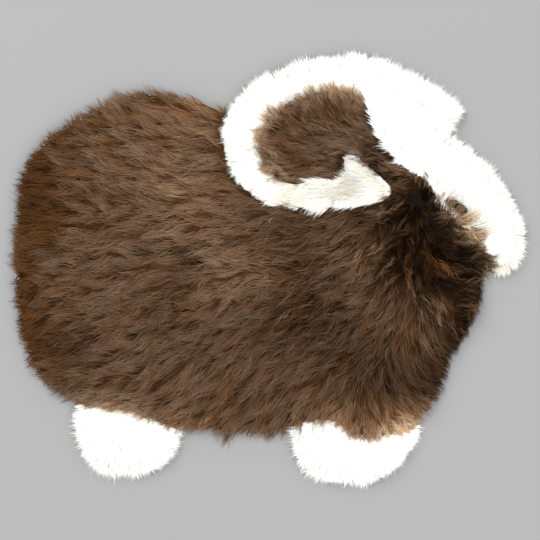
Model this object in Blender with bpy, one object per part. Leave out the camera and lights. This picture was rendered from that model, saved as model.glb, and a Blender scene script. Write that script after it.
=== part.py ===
"""A sheepskin rug in the shape of a ram, laid flat with its wool up.

Each sub-part is one dressed skin with its wool, as thick as the wool stands when the rug lies. The skins are
sewn edge to edge: the near horn, the face and the feet are let into the brown body skin, and a small wound eye
is sunk in the wool of the face. The head points along +X, the back along +Y, and the skin lies on z = 0, with the
origin under the middle of the whole rug.
"""

import math

import bmesh
import bpy
import numpy as np
from mathutils import Matrix, Vector
from mathutils.geometry import delaunay_2d_cdt

# Driving dimensions, in metres.
GAP = 0.0003            # clear space between neighbouring pieces
BODY_PILE = 0.034       # height of the lying wool
HORN_PILE = 0.034
WHITE_PILE = 0.032      # on the face, the far horn and the feet
EDGE = 0.007            # height of skin and first hairs at a free edge
ROLL = 0.030            # way in from a free edge over which the wool rises to its full height
SEAM_SHARE = 0.82       # part of the height that is left over a seam
SEAM_REACH = 0.018      # way in from a seam over which the wool dips
# Unevenness of the combed wool, as broad waves: height, distance between crests, heading of the crests' march.
SWELL = (
    (0.0014, 0.31, math.radians(15)),
    (0.0011, 0.19, math.radians(75)),
    (0.0008, 0.13, math.radians(140)),
)
NECK_RISE = 0.005       # the longer wool of the neck stands this much higher
NECK = (0.29, 0.05)     # the whorl on the neck
NECK_REACH = 0.16       # how far the longer wool spreads round it

STEP = 0.012            # length of the facets along an outline
GRID = 0.026            # spacing of the surface points inside a piece
RINGS = (0.006, 0.016)  # rows of surface points that follow the outlines
ROW_CLEAR = 0.8         # share of its depth that a row keeps from other outlines
ROW_SPACING = 0.6       # share of a STEP between a row's points
GRID_CLEAR = 0.55       # share of the GRID between the grid and the rows
PROBE = 0.002           # how far past an edge a neighbour is looked for
WELD = 1e-6

EYE_SIZE = (0.040, 0.021, 0.016)
EYE_PLACE = (0.379, 0.125)
EYE_TURN = math.radians(-38)
EYE_BEND = 0.003        # sag of the bean's ends below its middle
EYE_HEIGHT = 0.030      # height of its centre above the floor
EYE_ROUND = (18, 10)    # facets round and along the bean

# Outlines: place on the animal, x, y.
BODY = (
    ("nape", -0.048, 0.313),
    ("withers", -0.126, 0.341),
    ("back", -0.196, 0.355),
    ("loin", -0.256, 0.359),
    ("croup", -0.326, 0.335),
    ("croup_end", -0.396, 0.299),
    ("rump", -0.456, 0.255),
    ("tail_root", -0.492, 0.201),
    ("tail", -0.506, 0.127),
    ("haunch", -0.512, 0.037),
    ("haunch_low", -0.508, -0.063),
    ("thigh", -0.496, -0.143),
    ("stifle", -0.464, -0.215),
    ("hock", -0.416, -0.259),
    ("hind_foot_back", -0.346, -0.273),
    ("hind_foot_mid", -0.276, -0.281),
    ("hind_foot_front", -0.216, -0.305),
    ("flank", -0.156, -0.327),
    ("belly", -0.056, -0.335),
    ("girth", 0.034, -0.329),
    ("front_foot_back", 0.074, -0.303),
    ("front_foot_mid", 0.124, -0.299),
    ("front_foot_front", 0.184, -0.331),
    ("knee", 0.254, -0.323),
    ("brisket", 0.314, -0.299),
    ("chest_low", 0.346, -0.253),
    ("chest", 0.364, -0.195),
    ("throat_low", 0.400, -0.139),
    ("throat", 0.432, -0.073),
    ("jaw", 0.438, -0.023),
    ("cheek", 0.434, 0.057),
    ("temple", 0.364, 0.177),
    ("brow", 0.264, 0.317),
    ("poll", 0.188, 0.389),
    ("curl_top", 0.094, 0.385),
    ("curl_back", 0.000, 0.353),
)

# The near horn, one row for each section across its band: place, outer x, outer y, inner x, inner y.
HORN = (
    ("root", 0.208, 0.423, 0.212, 0.341),
    ("crown_front", 0.154, 0.427, 0.154, 0.345),
    ("crown", 0.086, 0.419, 0.090, 0.342),
    ("crown_back", 0.006, 0.393, 0.040, 0.325),
    ("back_top", -0.056, 0.349, 0.002, 0.289),
    ("back", -0.082, 0.277, -0.014, 0.241),
    ("back_low", -0.070, 0.201, -0.001, 0.199),
    ("heel", -0.012, 0.137, 0.044, 0.169),
    ("under", 0.064, 0.123, 0.100, 0.175),
    ("curl", 0.154, 0.123, 0.142, 0.177),
    ("nose", 0.220, 0.131, 0.156, 0.193),
    ("turn", 0.246, 0.157, 0.152, 0.215),
    ("hook", 0.212, 0.193, 0.166, 0.227),
)

FACE = (
    ("poll", 0.200, 0.417),
    ("forelock", 0.196, 0.351),
    ("forehead", 0.202, 0.313),
    ("brow", 0.222, 0.265),
    ("eye_back", 0.248, 0.237),
    ("cheek_top", 0.280, 0.203),
    ("cheek", 0.320, 0.179),
    ("eye_under", 0.342, 0.139),
    ("cheek_low", 0.371, 0.104),
    ("jaw", 0.405, 0.068),
    ("chin", 0.432, 0.033),
    ("chin_tip", 0.442, 0.001),
    ("lip", 0.460, -0.017),
    ("mouth", 0.486, -0.009),
    ("nostril", 0.506, 0.013),
    ("muzzle", 0.516, 0.047),
    ("nose", 0.512, 0.093),
    ("nose_ridge", 0.492, 0.141),
    ("bridge", 0.458, 0.189),
    ("bridge_top", 0.414, 0.233),
    ("horn_root", 0.364, 0.269),
    ("horn_seam", 0.324, 0.295),
    ("horn_seam_mid", 0.292, 0.327),
    ("horn_seam_top", 0.256, 0.365),
    ("poll_front", 0.228, 0.405),
)

FAR_HORN = (
    ("top", 0.208, 0.421),
    ("crest", 0.234, 0.417),
    ("crest_fall", 0.264, 0.401),
    ("outer", 0.306, 0.384),
    ("outer_low", 0.348, 0.359),
    ("shoulder", 0.378, 0.336),
    ("end", 0.395, 0.312),
    ("end_under", 0.380, 0.289),
    ("notch", 0.364, 0.275),
    ("inner_low", 0.324, 0.277),
    ("inner", 0.284, 0.313),
    ("inner_top", 0.244, 0.353),
    ("top_inner", 0.208, 0.393),
)

FRONT_FOOT = (
    ("heel_top", 0.054, -0.307),
    ("heel", 0.048, -0.343),
    ("heel_low", 0.054, -0.381),
    ("sole_back", 0.074, -0.407),
    ("sole", 0.104, -0.425),
    ("sole_mid", 0.150, -0.431),
    ("sole_front", 0.194, -0.431),
    ("toe", 0.230, -0.421),
    ("toe_tip", 0.260, -0.399),
    ("toe_top", 0.280, -0.373),
    ("instep", 0.294, -0.345),
    ("shin", 0.304, -0.313),
    ("shin_in", 0.264, -0.273),
    ("leg_in", 0.164, -0.263),
    ("heel_in", 0.084, -0.283),
)

HIND_FOOT = (
    ("heel_top", -0.382, -0.267),
    ("heel", -0.388, -0.313),
    ("heel_low", -0.378, -0.359),
    ("sole_back", -0.356, -0.395),
    ("sole", -0.330, -0.413),
    ("sole_mid", -0.292, -0.415),
    ("sole_front", -0.252, -0.413),
    ("toe", -0.222, -0.403),
    ("toe_tip", -0.192, -0.379),
    ("instep", -0.176, -0.343),
    ("shin", -0.184, -0.303),
    ("leg_in", -0.256, -0.253),
    ("heel_in", -0.336, -0.247),
)

BROWN = (0.105, 0.052, 0.028, 1.0)
WHITE = (0.90, 0.88, 0.82, 1.0)
OLIVE = (0.085, 0.062, 0.032, 1.0)
WOOL_ROUGHNESS = 0.9
YARN_ROUGHNESS = 0.7


def loop_points(rows):
    """The x and y of an outline's rows."""
    return [(x, y) for _, x, y in rows]


def band_points(sections):
    """Down the outer ends of a band's sections, and back up their inner ends."""
    outer = [(x, y) for _, x, y, _, _ in sections]
    inner = [(x, y) for _, _, _, x, y in sections]
    return outer + inner[::-1]


def smooth_loop(points):
    """A closed curve through the points, anticlockwise, in stretches of about one STEP."""
    knots = np.array(points)
    curve = []
    for index in range(len(knots)):
        before, start, end, after = (knots[(index + k) % len(knots)] for k in (-1, 0, 1, 2))
        count = max(1, round(np.linalg.norm(end - start) / STEP))
        for t in np.arange(count) / count:
            bend = 2 * before - 5 * start + 4 * end - after
            twist = after - before + 3 * (start - end)
            curve.append(start + 0.5 * ((end - before) * t + bend * t**2 + twist * t**3))
    curve = np.array(curve)
    following = np.roll(curve, -1, axis=0)
    turning = np.sum(curve[:, 0] * following[:, 1] - curve[:, 1] * following[:, 0])
    return curve if turning > 0 else curve[::-1]


def outward(loop):
    """Unit vectors that point out of an anticlockwise loop."""
    along = np.roll(loop, -1, axis=0) - np.roll(loop, 1, axis=0)
    out = np.stack([along[:, 1], -along[:, 0]], axis=1)
    return out / np.linalg.norm(out, axis=1, keepdims=True)


def inside(points, loop):
    """Which points lie in the loop, counted by the edges that a ray along +X meets."""
    start, end = loop, np.roll(loop, -1, axis=0)
    x, y = points[:, 0:1], points[:, 1:2]
    spans = (start[:, 1] > y) != (end[:, 1] > y)
    rise = np.where(end[:, 1] == start[:, 1], 1.0, end[:, 1] - start[:, 1])
    crossing = start[:, 0] + (y - start[:, 1]) * (end[:, 0] - start[:, 0]) / rise
    return np.sum(spans & (x < crossing), axis=1) % 2 == 1


def nearest(points, others):
    """Distance from each point to the nearest of the others."""
    if len(others) == 0:
        return np.full(len(points), np.inf)
    return np.min(np.linalg.norm(points[:, None] - others[None], axis=2), axis=1)


def in_piece(points, own, overs):
    """Which points lie in a piece: in its own outline, and in none that lies over it."""
    held = inside(points, own)
    for over in overs:
        held &= ~inside(points, over)
    return held


def border(own, overs):
    """The points round a piece, and which way is out of it at each."""
    places, outs = [own], [outward(own)]
    keep = [np.all([~inside(own, over) for over in overs], axis=0) if overs else np.full(len(own), True)]
    for index, over in enumerate(overs):
        others = overs[:index] + overs[index + 1 :]
        places.append(over)
        outs.append(-outward(over))
        keep.append(in_piece(over, own, others))
    keep = np.concatenate(keep)
    return np.concatenate(places)[keep], np.concatenate(outs)[keep]


def surface_points(own, overs, rim, rim_out):
    """Points inside a piece: rows that follow its edges, then an even triangular grid."""
    chosen = np.empty((0, 2))
    for depth in RINGS:
        row = rim - rim_out * depth
        row = row[in_piece(row, own, overs)]
        row = row[nearest(row, rim) > ROW_CLEAR * depth]
        for place in row:
            if nearest(place[None], chosen)[0] > ROW_SPACING * STEP:
                chosen = np.vstack([chosen, place])
    low, high = own.min(axis=0), own.max(axis=0)
    row_gap = GRID * math.sqrt(3) / 2
    grid = []
    for row in range(int((high[1] - low[1]) / row_gap) + 1):
        for column in range(int((high[0] - low[0]) / GRID) + 1):
            grid.append((low[0] + (column + row % 2 / 2) * GRID, low[1] + row * row_gap))
    grid = np.array(grid)
    grid = grid[in_piece(grid, own, overs)]
    grid = grid[nearest(grid, np.vstack([rim, chosen])) > GRID_CLEAR * GRID]
    return np.vstack([chosen, grid])


def planform(own, overs, fill):
    """Flat triangles over a piece, with the fill points among their corners."""
    corners, edges = [], []
    for loop in [own] + overs:
        first = len(corners)
        corners += [Vector(place) for place in loop]
        edges += [(first + k, first + (k + 1) % len(loop)) for k in range(len(loop))]
    corners += [Vector(place) for place in fill]
    places, _, faces, _, _, _ = delaunay_2d_cdt(corners, edges, [], 0, WELD)
    places = np.array([tuple(place) for place in places])
    centres = np.array([places[list(face)].mean(axis=0) for face in faces])
    held = in_piece(centres, own, overs)
    return places, [face for face, keep in zip(faces, held) if keep]


def ease(share):
    """0 to 1 with flat ends."""
    share = np.clip(share, 0.0, 1.0)
    return share * share * (3 - 2 * share)


def wool_height(places, pile, free_rim, seam_rim):
    """How high the wool stands: rolled down to free edges, dipped at seams and softly uneven."""
    rise = np.clip(nearest(places, free_rim) / ROLL, 0.0, 1.0)
    roll = np.sqrt(1 - (1 - rise) ** 2)
    dip = SEAM_SHARE + (1 - SEAM_SHARE) * ease(nearest(places, seam_rim) / SEAM_REACH)
    x, y = places[:, 0], places[:, 1]
    swell = 0.0
    for height, length, heading in SWELL:
        swell = swell + height * np.sin(2 * math.pi / length * (x * math.cos(heading) + y * math.sin(heading)))
    neck = NECK_RISE * ease(1 - np.hypot(x - NECK[0], y - NECK[1]) / NECK_REACH)
    return EDGE + (pile + swell + neck - EDGE) * roll * dip


def material(name, colour, roughness):
    """A plain finish."""
    finish = bpy.data.materials.new(name)
    finish.use_nodes = True
    shader = finish.node_tree.nodes["Principled BSDF"]
    shader.inputs["Base Color"].default_value = colour
    shader.inputs["Roughness"].default_value = roughness
    shader.inputs["Metallic"].default_value = 0.0
    finish.diffuse_color = colour
    return finish


def placed(name, mesh):
    """An object of the mesh, in the scene."""
    piece = bpy.data.objects.new(name, mesh)
    bpy.context.scene.collection.objects.link(piece)
    return piece


def skin(name, own, overs, all_outlines, pile, finish):
    """One skin with its wool: a solid with a flat underside, upright edges and a soft top."""
    overs = [over + outward(over) * GAP for over in overs]
    rim, rim_out = border(own, overs)
    past = rim + rim_out * PROBE
    covered = np.any([inside(past, outline) for outline in all_outlines], axis=0)
    places, faces = planform(own, overs, surface_points(own, overs, rim, rim_out))
    heights = wool_height(places, pile, rim[~covered], rim[covered])

    bm = bmesh.new()
    corners = [bm.verts.new((x, y, z)) for (x, y), z in zip(places, heights)]
    for face in faces:
        bm.faces.new([corners[k] for k in face])
    bmesh.ops.delete(bm, geom=[v for v in bm.verts if not v.link_faces], context="VERTS")
    top_edges = [edge for edge in bm.edges if edge.is_boundary]
    skirt = bmesh.ops.extrude_edge_only(bm, edges=top_edges)["geom"]
    for item in skirt:
        if isinstance(item, bmesh.types.BMVert):
            item.co.z = 0.0
    floor_edges = [edge for edge in bm.edges if edge.is_boundary]
    bmesh.ops.contextual_create(bm, geom=floor_edges)
    bmesh.ops.recalc_face_normals(bm, faces=bm.faces)
    mesh = bpy.data.meshes.new(name)
    bm.to_mesh(mesh)
    bm.free()
    mesh.materials.append(finish)
    return placed(name, mesh)


def bean(name, growth):
    """The eye's bent bean, each half-axis longer by the growth."""
    bm = bmesh.new()
    bmesh.ops.create_uvsphere(bm, u_segments=EYE_ROUND[0], v_segments=EYE_ROUND[1], radius=1.0)
    bmesh.ops.rotate(bm, verts=bm.verts, cent=(0, 0, 0), matrix=Matrix.Rotation(math.pi / 2, 3, "Y"))
    for vert in bm.verts:
        bend = EYE_BEND * vert.co.x**2
        vert.co = Vector([c * (size / 2 + growth) for c, size in zip(vert.co, EYE_SIZE)])
        vert.co.y -= bend
    mesh = bpy.data.meshes.new(name)
    bm.to_mesh(mesh)
    bm.free()
    mesh.shade_smooth()
    piece = placed(name, mesh)
    piece.location = (*EYE_PLACE, EYE_HEIGHT)
    piece.rotation_euler.z = EYE_TURN
    return piece


def sink_eye(face, finish):
    """Sets the eye in a pocket of its own shape in the wool of the face."""
    eye = bean("eye", 0.0)
    eye.data.materials.append(finish)
    pocket = bean("eye_pocket", GAP)
    pocket.hide_render = True
    pocket.display_type = "WIRE"
    cut = face.modifiers.new("eye_pocket", "BOOLEAN")
    cut.operation = "DIFFERENCE"
    cut.solver = "EXACT"
    cut.object = pocket


def hold_at_centre(skins):
    """Parents every piece to an empty that brings the middle of the skins over the origin."""
    pieces = list(bpy.data.objects)
    flat = np.array([vert.co[:2] for piece in skins for vert in piece.data.vertices])
    middle = (flat.min(axis=0) + flat.max(axis=0)) / 2
    rug = bpy.data.objects.new("rug", None)
    rug.location = (-middle[0], -middle[1], 0.0)
    bpy.context.scene.collection.objects.link(rug)
    for piece in pieces:
        piece.parent = rug


def build():
    """Clears the scene and makes the whole rug."""
    for thing in list(bpy.data.objects):
        bpy.data.objects.remove(thing)
    body, horn, face = (smooth_loop(p) for p in (loop_points(BODY), band_points(HORN), loop_points(FACE)))
    far_horn, front_foot, hind_foot = (smooth_loop(loop_points(p)) for p in (FAR_HORN, FRONT_FOOT, HIND_FOOT))
    outlines = [body, horn, face, far_horn, front_foot, hind_foot]
    brown = material("brown_wool", BROWN, WOOL_ROUGHNESS)
    white = material("white_wool", WHITE, WOOL_ROUGHNESS)
    olive = material("eye_yarn", OLIVE, YARN_ROUGHNESS)
    # Each row: name, outline, the outlines that are let into it, height of its wool, finish.
    pieces = (
        ("body", body, [horn, face, far_horn], BODY_PILE, brown),
        ("horn", horn, [face], HORN_PILE, white),
        ("face", face, [], WHITE_PILE, white),
        ("far_horn", far_horn, [face, horn], WHITE_PILE, white),
        ("front_foot", front_foot, [body], WHITE_PILE, white),
        ("hind_foot", hind_foot, [body], WHITE_PILE, white),
    )
    made = {}
    for name, outline, overs, pile, finish in pieces:
        made[name] = skin(name, outline, overs, outlines, pile, finish)
    sink_eye(made["face"], olive)
    hold_at_centre(made.values())


build()
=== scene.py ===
"""The looks of a sheepskin rug in the shape of a ram, laid flat with its wool up.

Each packed skin becomes a thin dressed hide, a dense under-wool that stands on it, and coats of combed strands
that Geometry Nodes grow on it. The strands gather into locks, follow a comb that is set out below in strokes, and
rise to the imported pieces' own surface. Everything is in metres, with the head towards +X and the back towards +Y.
"""

import math

import bmesh
import bpy
import numpy as np
from mathutils import Matrix, Vector
from mathutils.bvhtree import BVHTree
from mathutils.geometry import delaunay_2d_cdt
from mathutils.noise import noise


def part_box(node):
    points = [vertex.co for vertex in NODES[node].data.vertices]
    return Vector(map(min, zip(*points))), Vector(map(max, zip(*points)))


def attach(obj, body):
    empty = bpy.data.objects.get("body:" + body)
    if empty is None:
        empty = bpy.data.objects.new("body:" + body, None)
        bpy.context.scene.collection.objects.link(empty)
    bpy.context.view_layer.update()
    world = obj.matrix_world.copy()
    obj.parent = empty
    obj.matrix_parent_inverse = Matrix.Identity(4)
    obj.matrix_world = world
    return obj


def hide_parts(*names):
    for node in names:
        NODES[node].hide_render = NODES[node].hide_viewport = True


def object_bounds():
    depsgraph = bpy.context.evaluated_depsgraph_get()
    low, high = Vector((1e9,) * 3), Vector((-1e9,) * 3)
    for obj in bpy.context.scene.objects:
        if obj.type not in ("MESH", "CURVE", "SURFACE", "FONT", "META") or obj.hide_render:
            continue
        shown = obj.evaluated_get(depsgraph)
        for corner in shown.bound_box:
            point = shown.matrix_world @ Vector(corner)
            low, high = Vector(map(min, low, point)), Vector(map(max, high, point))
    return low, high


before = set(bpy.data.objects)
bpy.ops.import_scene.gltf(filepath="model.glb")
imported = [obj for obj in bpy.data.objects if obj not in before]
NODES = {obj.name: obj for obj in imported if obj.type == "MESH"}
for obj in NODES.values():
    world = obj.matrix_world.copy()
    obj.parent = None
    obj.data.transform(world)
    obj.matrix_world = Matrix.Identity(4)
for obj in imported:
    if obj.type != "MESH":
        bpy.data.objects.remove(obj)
CAD_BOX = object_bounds()
SKINS = ("body", "horn", "face", "far_horn", "front_foot", "hind_foot")

# ---- sizes

HIDE = 0.0022           # thickness of a dressed skin
HIDE_LIFT = 0.0005      # room under it for the seams
TUCK = 0.013            # how far a hide stops short of the wool's outer edge
GROUND_GRID = 0.013     # spacing of the points that carry the comb
HIDE_GRID = 0.020       # and of those that make a hide
UNDER_GRID = 0.007      # and its under-wool
RING_GRID = 0.006       # and the outlines
CUT_SLACK = 0.85        # the least distance of a tucked edge from its outline, as a share of the tuck
GRID_CLEAR = 0.4        # how clear of its outline a grid's own points stay, as a share of its spacing
PROBE = 0.002           # how far past an edge a neighbour is looked for
WELD = 1e-5
UP = (0.0, 0.0, 1.0)
SIZES = "NodeSocketFloat"  # the kind of input that takes a size, a share or any other number
# What a finish reads of a grown piece, besides its shape.
FINISH_DATA = ("OFBake", "wound", "material_index", "sharp_face")
COVER_GRID = 0.004      # spacing of the wool's height field
COVER_MARGIN = 0.05     # how far it goes on past the rug
COVER_FLOOR = 0.004     # height of the lowest hairs out there
SPLAY = 0.045           # wool turns outwards this near to a free edge
SPLAY_SHARE = 0.7       # how far it turns there
STEEP_WAY = 0.022       # how far from a seam wool stands up steeper
STEEP_MORE = 1.2        # and how much more of it there is at the seam
LOCK_CROWD = 1.6        # how many places for locks are tried for each that fits
LOCK_RULE = 0.75        # share of a strand's heading that its lock decides
CLUMP = 0.030           # size of the places where locks lie alike
TONE_CLUMP = 0.020      # and of those of like tone
SORT_CLUMP = 0.022      # and of a like sort of wool
SHORT_STRAND = 0.55     # the shortest strands, as a share of their room
LENGTH_SPREAD = 0.65    # and how much more the longest take
CLUMP_SPREAD = 0.9      # how much longer or shorter whole clumps are
EDGE_EVEN = 0.8         # and how much less of that there is at a free edge
EDGE_LOOSE = 0.6        # how much less strands close up into locks there
CURL_STRAY = 1.6        # how much more curly locks stray
RISE = 2.6              # how soon a strand is at its height
RISE_STEEP = 4.0        # and how much sooner at a seam
LOWEST = 0.001          # least height of a strand over the floor
CURL_SIZE = 0.0040      # sideways swing of the curliest locks
UNDER_SHARE = (0.55, 0.74)  # height of the matted under-wool, as a share of the coat's: brown, white
UNDER_CURLS = 0.25      # and how much less it is under the curliest wool
UNDER_ROUND = 0.02      # how near to a free edge it drops
UNDER_GAP = 0.0003      # and how far it stays off the hide
UNDER_THIN = 0.15       # its least height there, as a share
UNDER_PAINTED_SHADE = 2.4        # how much more than the coat over it the brown one darkens from place to place: painted shade between the locks
UNDER_LUMP = 0.012      # size of its lumps
UNDER_RELIEF = 0.0025   # and their height
UNDER_FINE = 2.3        # how many times smaller the finer ones are
MARCH = 0.003           # step with which room for a strand is looked for
OVERHANG = 0.0          # how far strands pass the rug's outer edge
SHORTEST = 0.008        # and how short they get where a seam holds them back
MINGLE = 0.012          # how far wool passes a seam to wool of its own colour
LAP_WAY = 0.014         # how far it passes one where it laps over its neighbour
LAP_HEIGHT = 0.0045     # and how much higher it lies there
LAP_NEAR = 0.045        # this near to the seam
UNDER_THINS = 1.5       # how soon wool that lies under a neighbour's has no wisps
WISP_WAY = 0.006        # how much further wisps go
WISP_LAP = 0.022        # and where they lap over a neighbour
FADE_NEAR = 0.045       # tips are paler this near to the seam
FADE_MOST = 1.4
EVEN_EDGE = 0.05        # strands are of more even length this near to a free edge

DIMPLE = 0.007          # how much lower the wool is round the eye
DIMPLE_WAY = 0.024
# The winding's lean adds 3 mm to this length. Its waist and slim end take 1 mm off the breadth and the height.
EYE_SIZE = (0.038, 0.020, 0.0155)
EYE_TURN = -38          # degrees
EYE_YARN = 0.0017       # radius of the yarn
EYE_TURNS = 10.0
EYE_SLANT = 0.002       # how far the winding leans
EYE_CORE = (0.92, 0.78, 0.78)  # the bean under the yarn, as shares of the whole
EYE_WAIST = 0.36        # where a thread pulls it in, from its left end
EYE_WAIST_WAY = 0.075
EYE_WAIST_DEPTH = 0.50
EYE_BLUNT = 5.0         # how blunt the bean's ends are
EYE_SLIM = 0.86         # breadth at its left end, as a share of that at its right
# Shades along the winding, from the left end to the right. The near-black band at the waist is painted shade in its
# crease.
EYE_SHADES = (
    (0.05, (66, 50, 33)),
    (0.18, (112, 90, 63)),
    (0.33, (100, 80, 54)),
    (0.38, (8, 5, 3)),
    (0.44, (8, 5, 3)),
    (0.49, (102, 81, 56)),
    (0.76, (108, 86, 60)),
    (0.92, (38, 27, 16)),
)

FLOOR_SIZE = 24.0
FLOOR_GAP = 0.0002
FLOOR_SHADE = (0.290, 0.290, 0.290)
ROOM_SHADE = (0.92, 0.92, 0.92)
# Lamps: name, size, power, place.
LAMPS = (
    ("key", 3.5, 172.0, (-2.4, 2.2, 3.8)),
    ("fill", 3.5, 117.0, (2.4, -1.8, 3.8)),
)
LENS, SENSOR = 85.0, 36.0
VIEW_CENTRE = (0.0018, -0.0021)
VIEW_WIDTH = 1.08       # what the camera takes in across
VIEW_PLANE = 0.012      # at this height

# ---- the comb, and how the wool changes from place to place

# Strokes of the comb over a skin: x, y, heading in degrees anticlockwise from +X.
COMB = {
    "body": (
        # back
        (-0.4, 0.24, 166), (-0.32, 0.24, 153), (-0.24, 0.25, 158), (-0.15, 0.27, 170), (-0.48, 0.16, 174),
        (-0.39, 0.16, 166), (-0.26, 0.16, 166), (-0.12, 0.17, 180),
        # haunch, saddle and ribs
        (-0.48, 0.06, 177), (-0.39, 0.07, 176), (-0.31, 0.04, 194), (-0.23, 0.05, 186), (-0.12, 0.06, 184),
        (0, 0.04, 186),
        # thigh, flank and belly
        (-0.48, -0.08, 196), (-0.38, -0.08, 190), (-0.25, -0.08, 199), (-0.14, -0.08, 203), (-0.01, -0.08, 200),
        (-0.46, -0.17, 203), (-0.36, -0.2, 195), (-0.24, -0.2, 204), (-0.14, -0.22, 215), (-0.03, -0.24, 222),
        (0.07, -0.22, 214),
        # elbow and knee
        (0.14, -0.27, 238), (0.19, -0.27, 276), (0.25, -0.26, 312), (0.32, -0.25, 326),
        # girth, shoulder and neck
        (0.08, -0.1, 206), (0.15, -0.17, 208), (0.16, -0.06, 208), (0.07, 0.06, 188), (0.16, 0.07, 202),
        (0.22, 0.02, 218), (0.22, -0.1, 222),
        # whorl
        (0.25, 0.07, 205), (0.29, 0.05, 258), (0.335, 0.05, 318), (0.335, -0.03, 312), (0.285, -0.03, 255),
        # chest and jaw
        (0.31, -0.1, 276), (0.34, -0.19, 314), (0.41, -0.08, 340), (0.42, 0, 355), (0.4, 0.05, 8),
        # round the eye
        (0.37, 0.09, 12), (0.33, 0.13, 30), (0.362, 0.104, 52), (0.315, 0.155, 58), (0.283, 0.122, 222),
        # strip, and the inset in the horn's curl
        (0.265, 0.175, 200), (0.23, 0.21, 165), (0.06, 0.195, 186), (0.1, 0.25, 172), (0.01, 0.25, 172),
        (0.04, 0.32, 128), (0.11, 0.34, 104), (0.18, 0.33, 112), (0.2, 0.26, 160),
    ),
    "horn": (
        # from the root round to the hook
        (0.17, 0.39, 82), (0.09, 0.39, 102), (0.02, 0.36, 116), (-0.04, 0.31, 150), (-0.055, 0.25, 178),
        (-0.04, 0.19, 204), (0.01, 0.155, 210), (0.08, 0.145, 192), (0.16, 0.14, 184), (0.22, 0.16, 184),
        (0.18, 0.18, 172), (0.165, 0.215, 150),
    ),
    "face": (
        # from the poll down to the lip
        (0.215, 0.4, 70), (0.22, 0.34, 128), (0.26, 0.35, 52), (0.25, 0.26, 172), (0.3, 0.27, 40),
        (0.3, 0.21, 212), (0.39, 0.22, 48), (0.36, 0.17, 262), (0.45, 0.16, 38), (0.41, 0.1, 296),
        (0.49, 0.09, 12), (0.44, 0.04, 312), (0.5, 0.03, 332), (0.465, 0, 276),
    ),
    "far_horn": (
        (0.24, 0.39, 72), (0.31, 0.35, 58), (0.37, 0.31, 30),
    ),
    "front_foot": (
        (0.07, -0.36, 205), (0.1, -0.4, 240), (0.17, -0.4, 275), (0.24, -0.38, 310), (0.27, -0.34, 325),
        (0.15, -0.34, 270),
    ),
    "hind_foot": (
        (-0.37, -0.33, 190), (-0.35, -0.38, 235), (-0.29, -0.39, 272), (-0.22, -0.37, 315), (-0.2, -0.33, 340),
        (-0.28, -0.31, 268),
    ),
}
COMB_BLUR = 0.03        # how softly one stroke gives way to the next

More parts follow.
